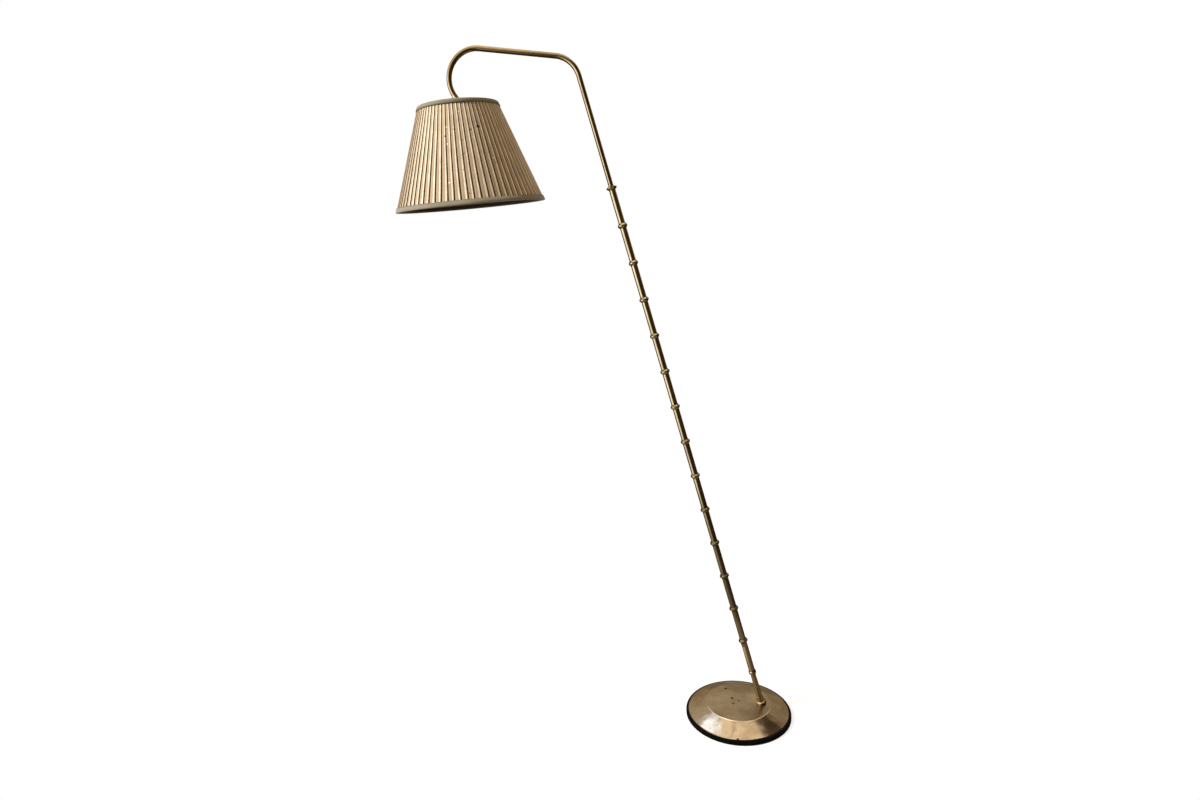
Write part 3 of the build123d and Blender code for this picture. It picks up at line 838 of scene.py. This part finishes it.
pleats, given, result = new_tree(
    "knife pleats",
    "GeometryNodeTree",
    [("Pleats", INT), ("Samples", INT), ("Rows", INT), ("Top Radius", FLOAT), ("Mouth Radius", FLOAT),
     ("Top Height", FLOAT), ("Mouth Height", FLOAT), ("Top Depth", FLOAT), ("Mouth Depth", FLOAT),
     ("Top Lap", FLOAT), ("Mouth Lap", FLOAT), ("Wander", FLOAT), ("Sink", FLOAT), ("Seed", FLOAT),
     ("Cloth per Pleat", FLOAT), ("Slant", FLOAT), ("Material", MATERIAL)],
    [("Geometry", GEOMETRY)],
)
strip = add_node(pleats, "GeometryNodeMeshGrid")
columns = scaled(pleats, given["Pleats"], given["Samples"], 1.0)
feed_all(pleats, strip.inputs, {"Vertices X": columns, "Vertices Y": given["Rows"]})
strip_x, strip_y, _ = split(pleats, add_node(pleats, "GeometryNodeInputPosition").outputs[0])
along = times(pleats, math_node(pleats, "ADD", strip_x, 0.5), given["Pleats"])
rise = math_node(pleats, "ADD", strip_y, 0.5)
edge = math_node(pleats, "FLOOR", math_node(pleats, "ADD", along, edge_slack))
within = math_node(pleats, "SUBTRACT", along, edge, clamp=True)
print("tree", pleats.name)

# %% Fold curves
face = float_curve(
    pleats, within,
    [(0, 0), (0.0625, 0.02), (0.125, 0.08), (0.3125, 0.4), (0.625, 1), (1, 1)],
)
tuck = float_curve(pleats, within, [(0, 0), (0.625, 0), (0.8125, 1), (1, 0)])
depth = float_curve(
    pleats, within,
    [(0, 0.34), (0.0625, 0.08), (0.125, 0.0), (0.19, 0.04), (0.26, 0.12), (0.375, 0.20), (0.44, 0.36),
     (0.51, 0.68), (0.60, 0.92), (0.8125, 1), (0.92, 0.72), (1, 0.34)],
)
# Fourth curve, the fold's painted light: low gives a cream painted highlight, high gives brown painted shade with
# some dust in the crease.
fold_light_and_dust = float_curve(
    pleats, within,
    [(0, 0.30), (0.05, 0.24), (0.09, 0.18), (0.125, 0.13), (0.15, 0.05), (0.18, 0.0), (0.23, 0.02),
     (0.29, 0.16), (0.39, 0.22), (0.43, 0.28), (0.47, 0.45), (0.51, 0.75), (0.55, 1.0), (0.96, 1.0),
     (1, 0.30)],
)
print("fold curves: face, tuck, depth and soil")

# %% Wander of the folds, and the place of each point
fold_step = 3.71
noise_spread = 4.0
sway_layer, sway_scale = 0.5, 0.9
press_layer, press_scale = 7.5, 1.6
tone_layer = 3.5


def fold_noise(edge_number, row, layer, scale):
    """Noise from about -1 to 1 that belongs to one fold edge and changes slowly along it."""
    wrapped = math_node(pleats, "MODULO", edge_number, given["Pleats"])
    across_folds = scaled(pleats, wrapped, fold_step, given["Seed"])
    value = noise(pleats, combine(pleats, across_folds, times(pleats, row, scale), layer))
    return scaled(pleats, value, noise_spread, -noise_spread / 2)


def between_edges(layer, scale):
    """Fold noise that goes from a pleat's own edge to the next one across its face."""
    following = math_node(pleats, "ADD", edge, 1.0)
    return mix_value(
        pleats, face, fold_noise(edge, rise, layer, scale), fold_noise(following, rise, layer, scale)
    )


lap = mix_value(pleats, rise, given["Mouth Lap"], given["Top Lap"])
across = scaled(pleats, lap, tuck, face)
across = scaled(pleats, between_edges(sway_layer, sway_scale), given["Wander"], across)
angle = math_node(pleats, "DIVIDE", math_node(pleats, "ADD", edge, across), given["Pleats"])
angle = times(pleats, angle, -math.tau)
sunk = scaled(pleats, between_edges(press_layer, press_scale), 0.5, 0.5, clamp=True)
sunk = scaled(pleats, sunk, given["Sink"], depth)
full_depth = mix_value(pleats, rise, given["Mouth Depth"], given["Top Depth"])
ridge = mix_value(pleats, rise, given["Mouth Radius"], given["Top Radius"])
radius = math_node(pleats, "SUBTRACT", ridge, times(pleats, full_depth, sunk))
folded = combine(
    pleats,
    times(pleats, radius, math_node(pleats, "COSINE", angle)),
    times(pleats, radius, math_node(pleats, "SINE", angle)),
    mix_value(pleats, rise, given["Mouth Height"], given["Top Height"]),
)

# %% [markdown]
# The cloth's material needs to know where a point lay on the flat strip, how much painted light and dust its
# fold carries, and which pleat it is on. The tree stores these as a UV map and two attributes before it folds
# the strip. Then it turns the faces outwards, closes the seam and gives the cloth its material.

# %% Store what the material needs, then fold
seam_distance = 0.00001


def store(tree, geometry, name, kind, domain, value):
    """Geometry with a named attribute."""
    node = add_node(tree, "GeometryNodeStoreNamedAttribute", data_type=kind, domain=domain)
    feed_all(tree, node.inputs, {"Geometry": geometry, "Name": name, "Value": value})
    return node.outputs["Geometry"]


flat_place = combine(
    pleats, times(pleats, along, given["Cloth per Pleat"]), times(pleats, rise, given["Slant"]), 0.0
)
pleat_draw = fold_noise(edge, 0.0, tone_layer, 1.0)
cloth = store(pleats, strip.outputs["Mesh"], "UVMap", "FLOAT2", "CORNER", flat_place)
cloth = store(pleats, cloth, "fold_light_and_dust", "FLOAT", "POINT", fold_light_and_dust)
cloth = store(pleats, cloth, "pleat", "FLOAT", "POINT", pleat_draw)
for kind, settings in (
    ("GeometryNodeSetPosition", {"Position": folded}),
    ("GeometryNodeFlipFaces", {}),
    ("GeometryNodeMergeByDistance", {"Distance": seam_distance}),
    ("GeometryNodeSetShadeSmooth", {}),
    ("GeometryNodeRealizeInstances", {}),
    ("GeometryNodeSetMaterial", {"Material": given["Material"]}),
):
    step = add_node(pleats, kind)
    feed_all(pleats, step.inputs, {0: cloth, **settings})
    cloth = step.outputs[0]
feed(pleats, result["Geometry"], cloth)
print("tree", pleats.name, len(pleats.nodes), "nodes")

# %% [markdown]
# The cotton is tan, with a painted highlight in a narrow cream line on the lit side of each fold. The creases
# are painted brown as shade, with some dust, where the fold's painted-light value is high, and the lampshade's
# left side is painted darker as shade. Threads could come from an image, which would repeat. Here they are
# noise along and across the strip, in the flat cloth's own coordinates, with thicker slubs here and there.
# Moths have left a few small marks.

# %% Cotton: colours and amounts
cream = colour(0.94, 0.85, 0.67)
tan = colour(0.405, 0.306, 0.203)
# Painted shade in the creases; this brown also colours the dark flecks.
crease_brown = colour(0.050, 0.028, 0.012)
# Painted shade: this tan darkens the lampshade's left side.
left_side_shade_tan = colour(0.315, 0.240, 0.160)
moth_brown = colour(0.035, 0.018, 0.010)
left_side_shade_edge, left_side_shade_share = (-0.25, -0.70), 0.90
fold_light_noise_scale, fold_light_noise_swing = 45.0, 0.2
tan_edge, brown_edge = (0.0, 0.16), (0.28, 0.52)
thread_edge, thread_share = (0.80, 1.35), 0.28
slub_edge, slub_share = (0.55, 0.75), 0.32
stain_edge, stain_share = (0.50, 0.80), 0.32
pleat_edge, pleat_share = (0.0, 1.0), 0.4
warp_count, weft_count, slub_count = (1500.0, 60.0, 1.0), (90.0, 1500.0, 1.0), (420.0, 14.0, 1.0)
stain_scale = 14.0
moth_places = [(-44.4, 0.721), (-70.5, 0.707), (-52.8, 0.695), (-80.4, 0.651), (-29.7, 0.217)]
moth_sizes = [0.0037, 0.0019, 0.0019, 0.0022, 0.0020]
moth_share = 0.9
fleck_scale = 70.0
fleck_edge = (0.10, 0.06)
dark_fleck_from, dark_fleck_share = 0.90, 0.75
pale_fleck_to, pale_fleck_share = 0.10, 0.8
thread_roughness, cotton_roughness = 0.1, 0.75


def on_cover(degrees, rise_share):
    """A point on the cover's ridges at an angle about the shade's axis and a share of its height."""
    radius = ridge_low + (ridge_top - ridge_low) * rise_share
    height = cover_low + (cover_top - cover_low) * rise_share
    turn_angle = math.radians(degrees)
    return shade_frame @ Vector((radius * math.cos(turn_angle), radius * math.sin(turn_angle), height))


def flat_noise(tree, flat, counts, detail=3.0):
    """Noise on the flat cloth with so many marks for each metre along it and across it."""
    return noise(tree, vector_node(tree, "MULTIPLY", flat, counts), detail=detail)


# %% Cotton: material
cotton, tree, shader = new_material("pleated cotton")
flat = add_node(tree, "ShaderNodeUVMap", uv_map="UVMap").outputs["UV"]
fold_light_attribute = add_node(tree, "ShaderNodeAttribute", attribute_name="fold_light_and_dust").outputs["Fac"]
pleat_tone = add_node(tree, "ShaderNodeAttribute", attribute_name="pleat").outputs["Fac"]
place = object_place(tree)
local = in_frame(tree, place, shade_frame)
threads = math_node(tree, "ADD", flat_noise(tree, flat, warp_count), flat_noise(tree, flat, weft_count))
slub = flat_noise(tree, flat, slub_count, detail=2.0)
stain = noise(tree, place, stain_scale, detail=5.0, roughness=0.65)
uneven = noise(tree, place, fold_light_noise_scale, detail=3.0)
uneven = scaled(tree, uneven, fold_light_noise_swing, -fold_light_noise_swing / 2)
fold_light_with_noise = math_node(tree, "ADD", fold_light_attribute, uneven)
sideways = math_node(tree, "DIVIDE", split(tree, local)[0], from_axis(tree, local))
# Painted highlight: cream where the fold's painted-light value is low, on the lit side of each ridge.
body = mix_colour(tree, ramp(tree, fold_light_with_noise, *tan_edge), cream, tan)
for mask, mask_edge, share, shade_colour in (
    (threads, thread_edge, thread_share, tan),
    (slub, slub_edge, slub_share, tan),
    (stain, stain_edge, stain_share, tan),
    (pleat_tone, pleat_edge, pleat_share, tan),
    # Painted shade: the lampshade's left side is darkened.
    (sideways, left_side_shade_edge, left_side_shade_share, left_side_shade_tan),
):
    body = toned(tree, body, ramp(tree, mask, *mask_edge), share, shade_colour)
# Painted shade: brown in each crease, where that value is high.
body = mix_colour(tree, ramp(tree, fold_light_with_noise, *brown_edge), body, crease_brown)
moths = spots(tree, place, [(on_cover(*spot), size) for spot, size in zip(moth_places, moth_sizes)])
body = toned(tree, body, moths, moth_share, moth_brown)
fleck = add_node(tree, "ShaderNodeTexVoronoi", voronoi_dimensions="2D")
feed_all(tree, fleck.inputs, {"Vector": flat, "Scale": fleck_scale})
fleck_here = ramp(tree, fleck.outputs["Distance"], *fleck_edge)
fleck_draw = split(tree, fleck.outputs["Color"])[0]
dark_fleck = times(tree, fleck_here, math_node(tree, "GREATER_THAN", fleck_draw, dark_fleck_from))
pale_fleck = times(tree, fleck_here, math_node(tree, "LESS_THAN", fleck_draw, pale_fleck_to))
body = toned(tree, body, dark_fleck, dark_fleck_share, crease_brown)
body = toned(tree, body, pale_fleck, pale_fleck_share, cream)
feed_all(tree, shader.inputs, {
    "Base Color": body,
    "Roughness": scaled(tree, threads, thread_roughness, cotton_roughness),
    "Normal": bump(tree, threads, strength=0.35, distance=0.0003),
    "Sheen Weight": 0.1,
    "Specular IOR Level": 0.2,
})
print("cotton nodes", len(tree.nodes))

# %% [markdown]
# The tree runs as a modifier on an empty mesh, with a Solidify after it for the cloth's thickness. The result
# is copied into a plain mesh and carried to the shade's place, and the modifiers go. The new piece rides on
# the head and stands for the plain solid of the cover.

# %% Make the pleated cover
pleat_count = 72
pleat_cloth = 0.0195
cloth_wall = 0.00035


def plain_mesh(name, holder, thickness):
    """The holder's finished mesh with a wall, at its place on the shade; the holder goes."""
    wall = holder.modifiers.new("wall", "SOLIDIFY")
    wall.thickness = thickness
    wall.offset = -1.0
    ready = holder.evaluated_get(bpy.context.evaluated_depsgraph_get())
    mesh = bpy.data.meshes.new_from_object(ready)
    bpy.data.objects.remove(holder)
    mesh.name = name
    mesh.transform(shade_frame)
    return mesh


def grown(name, tree, values, thickness):
    """A plain mesh from a geometry tree, with its inputs by name and a wall thickness."""
    holder = put(name + "_maker", bpy.data.meshes.new(name + "_maker"))
    maker = holder.modifiers.new("maker", "NODES")
    maker.node_group = tree
    for item in tree.interface.items_tree:
        if item.in_out == "INPUT":
            maker[item.identifier] = values[item.name]
    return plain_mesh(name, holder, thickness)


def piece(name, mesh, body, solid):
    """A piece of the lamp that rides on a body and stands for a solid."""
    made = put(name, mesh)
    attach(made, body)
    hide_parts(solid)
    return made


cover_values = {
    "Pleats": pleat_count,
    "Samples": 16,
    "Rows": 30,
    "Top Radius": ridge_top,
    "Mouth Radius": ridge_low,
    "Top Height": cover_top,
    "Mouth Height": cover_low,
    "Top Depth": 0.0016,
    "Mouth Depth": 0.0029,
    "Top Lap": 0.62,
    "Mouth Lap": 0.17,
    "Wander": 0.11,
    "Sink": 0.22,
    "Seed": 4.2,
    "Cloth per Pleat": pleat_cloth,
    "Slant": slant,
    "Material": cotton,
}
cover_mesh = grown("pleated_cover", pleats, cover_values, cloth_wall)
pleated_cover = piece("pleated_cover", cover_mesh, "head", "shade_pleats")
print("cover faces", len(cover_mesh.polygons))

# %% [markdown]
# A narrow woven tape is folded over both edges of the shade. It is grey-green, with fine ribs and a darker
# selvedge on its free edge, and its inner leg is painted dark as shade. Each thread could be modelled, but
# the tape is so narrow that two crossed waves and some noise are enough.

# %% Woven tape
tape_width = 0.0155
rib_pitch, pick_pitch = 0.0009, 0.0007
yarn_count = (700.0, 2200.0, 1.0)
weave_swing, weave_middle = 0.25, 0.5
weave_share, yarn_share = 0.5, 0.7
yarn_roughness, tape_roughness = 0.15, 0.65
tape_dark, tape_light = colour(0.140, 0.123, 0.080), colour(0.272, 0.245, 0.174)
tape_edge = (0.35, 0.9)
wear_tone, wear_scale, wear_edge, wear_share = colour(0.31, 0.287, 0.224), 30.0, (0.45, 0.75), 0.4
selvedge_tone, selvedge_edge, selvedge_share = colour(0.07, 0.06, 0.035), (0.0026, 0.0010), 0.6
# Painted shade for the tape's inner leg.
inner_leg_shade_tone, inner_leg_shade_blur, inner_leg_shade_share = colour(0.020, 0.014, 0.008), 0.003, 0.9

tape, tree, shader = new_material("woven tape")
flat = add_node(tree, "ShaderNodeUVMap", uv_map="UVMap").outputs["UV"]
along_tape, across_tape, _ = split(tree, flat)
ribs = math_node(tree, "SINE", times(tree, along_tape, math.tau / rib_pitch))
picks = math_node(tree, "SINE", times(tree, across_tape, math.tau / pick_pitch))
weave = scaled(tree, times(tree, ribs, picks), weave_swing, weave_middle)
yarn = flat_noise(tree, flat, yarn_count)
worn = noise(tree, object_place(tree), wear_scale, detail=4.0, roughness=0.6)
tone = math_node(tree, "ADD", times(tree, weave, weave_share), times(tree, yarn, yarn_share))
olive = mix_colour(tree, ramp(tree, tone, *tape_edge), tape_dark, tape_light)
olive = toned(tree, olive, ramp(tree, worn, *wear_edge), wear_share, wear_tone)
olive = toned(tree, olive, ramp(tree, across_tape, *selvedge_edge), selvedge_share, selvedge_tone)
# Painted shade: the tape's inner leg is darkened.
inside = ramp(tree, across_tape, tape_width, tape_width + inner_leg_shade_blur)
olive = toned(tree, olive, inside, inner_leg_shade_share, inner_leg_shade_tone)
feed_all(tree, shader.inputs, {
    "Base Color": olive,
    "Roughness": scaled(tree, yarn, yarn_roughness, tape_roughness),
    "Normal": bump(tree, tone, strength=0.5, distance=0.0003),
    "Sheen Weight": 0.2,
    "Specular IOR Level": 0.25,
})
print("tape nodes", len(tree.nodes))

# %% [markdown]
# The tape's section is a rounded hook: an outer leg on the pleats, a turn over the edge, and a shorter leg
# inside. It is swept round the shade's axis, and its free edge follows the pleats slightly. A bevelled curve
# could do that, but mesh code also gives the weave a UV map along and across the tape.

# %% Mesh of a tape
tape_wall = 0.0005
tape_turns = 360
tape_ripple = 0.00025
ripple_reach = 0.008


def rounded_line(points, radius, steps=6):
    """A line through points with its inner corners rounded."""
    points = [np.array(point, float) for point in points]
    line = [points[0]]
    for before, corner, after in zip(points, points[1:], points[2:]):
        start = corner + (before - corner) / np.linalg.norm(before - corner) * radius
        end = corner + (after - corner) / np.linalg.norm(after - corner) * radius
        for share in np.linspace(0, 1, steps):
            line.append((1 - share) ** 2 * start + 2 * share * (1 - share) * corner + share**2 * end)
    line.append(points[-1])
    return line


def tape_mesh(name, section, way):
    """A tape round the shade's axis along a section of (radius, height) points; way is +1 or -1."""
    lengths = [0.0]
    for first, second in zip(section, section[1:]):
        lengths.append(lengths[-1] + float(np.linalg.norm(second - first)))
    corners = []
    for step in range(tape_turns):
        turn_angle = way * math.tau * step / tape_turns
        wave = 0.5 + 0.5 * math.cos(pleat_count * turn_angle)
        for (radius, height), length in zip(section, lengths):
            free = max(0.0, 1 - length / ripple_reach)
            out = radius - tape_ripple * wave * free
            corners.append((out * math.cos(turn_angle), out * math.sin(turn_angle), height))
    rows = len(section)
    faces = []
    places = []
    for step in range(tape_turns):
        after = (step + 1) % tape_turns
        for row in range(rows - 1):
            here, there = step * rows + row, after * rows + row
            faces.append((here, there, there + 1, here + 1))
            for column, line in ((step, row), (step + 1, row), (step + 1, row + 1), (step, row + 1)):
                places.append((math.tau * section[0][0] * column / tape_turns, lengths[line]))
    mesh = bpy.data.meshes.new(name + "_maker")
    mesh.from_pydata(corners, [], faces)
    layer = mesh.uv_layers.new(name="UVMap")
    layer.data.foreach_set("uv", np.array(places).ravel())
    mesh.materials.append(tape)
    mesh.polygons.foreach_set("use_smooth", [True] * len(faces))
    return plain_mesh(name, put(name + "_maker", mesh), tape_wall)


# %% Fold the tapes over both edges
tape_stand = 0.0008
tape_round = 0.0034
inner_leg = 0.006
rim_slack = 0.0003
for name, solid, end, trim in (
    ("top_tape", "shade_top_binding", 1, 0.0008),
    ("mouth_tape", "shade_bottom_binding", -1, 0.0012),
):
    ring = local_points(solid, shade_frame)
    heights = sorted({round(float(h), 5) for h in ring[:, 2]}, key=lambda h: end * h)
    free_edge, rim = heights[0], heights[-1]
    outer_free = radius_at(ring, free_edge)
    outer_rim = radius_at(ring, rim)
    at_rim = ring[np.abs(ring[:, 2] - rim) < rim_slack]
    inner_rim = float(np.hypot(at_rim[:, 0], at_rim[:, 1]).min())
    inner_end = rim - end * inner_leg
    slope = (outer_free - outer_rim) / (free_edge - rim)
    free_edge += end * trim
    outer_free = outer_rim + slope * (free_edge - rim)
    section = rounded_line(
        [(outer_free + tape_stand, free_edge), (outer_rim + tape_stand, rim), (inner_rim, rim),
         (inner_rim + slope * (inner_end - rim), inner_end)],
        tape_round,
    )
    piece(name, tape_mesh(name, section, end), "head", solid)
